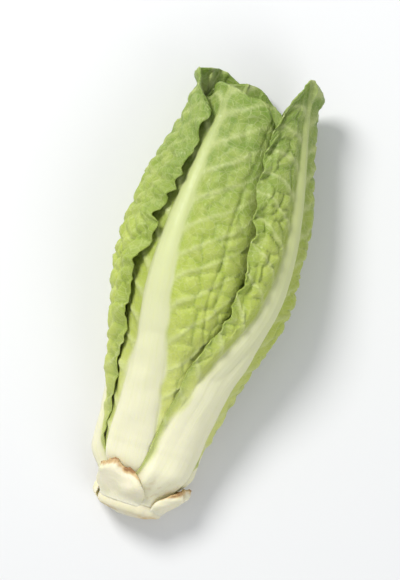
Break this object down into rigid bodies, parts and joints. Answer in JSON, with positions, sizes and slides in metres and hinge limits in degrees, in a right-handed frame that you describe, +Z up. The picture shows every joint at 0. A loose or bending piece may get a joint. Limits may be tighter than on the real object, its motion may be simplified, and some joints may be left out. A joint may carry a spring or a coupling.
{
  "type": "romaine heart",
  "caption": "Trimmed romaine lettuce heart lying on its side: nested crinkled leaves with broad pale ribs on a short cut stem.",
  "frame": {"origin": "on the surface the heart lies on, under the middle of its length and width", "axes": "+Z up, +Y from the cut butt towards the leaf tips, +X to the right of that"},
  "size_m": [0.097, 0.232, 0.0612],
  "materials": {
    "stem": "moist cut tissue, cream with rust-brown edges",
    "outer_leaf": "waxy leaf, yellow-green blade, cream rib",
    "middle_leaf": "waxy leaf, yellow-green blade, cream rib",
    "inner_leaf": "waxy leaf, pale yellow-green",
    "heart_leaf": "waxy leaf, pale yellow",
    "cut_stub": "torn leaf base, cream with tan edges"
  },
  "bodies": {
    "root": {"stem": "stem", "outer_leaf_1": "outer_leaf", "outer_leaf_2": "outer_leaf", "outer_leaf_3": "outer_leaf", "outer_leaf_4": "outer_leaf", "outer_leaf_5": "outer_leaf", "middle_leaf_1": "middle_leaf", "middle_leaf_2": "middle_leaf", "middle_leaf_3": "middle_leaf", "middle_leaf_4": "middle_leaf", "middle_leaf_5": "middle_leaf", "middle_leaf_6": "middle_leaf", "inner_leaf_1": "inner_leaf", "inner_leaf_2": "inner_leaf", "inner_leaf_3": "inner_leaf", "inner_leaf_4": "inner_leaf", "inner_leaf_5": "inner_leaf", "heart_leaf_1": "heart_leaf", "heart_leaf_2": "heart_leaf", "heart_leaf_3": "heart_leaf", "heart_leaf_4": "heart_leaf", "cut_stub_1": "cut_stub", "cut_stub_2": "cut_stub", "cut_stub_3": "cut_stub", "cut_stub_4": "cut_stub"}
  },
  "joints": []
}
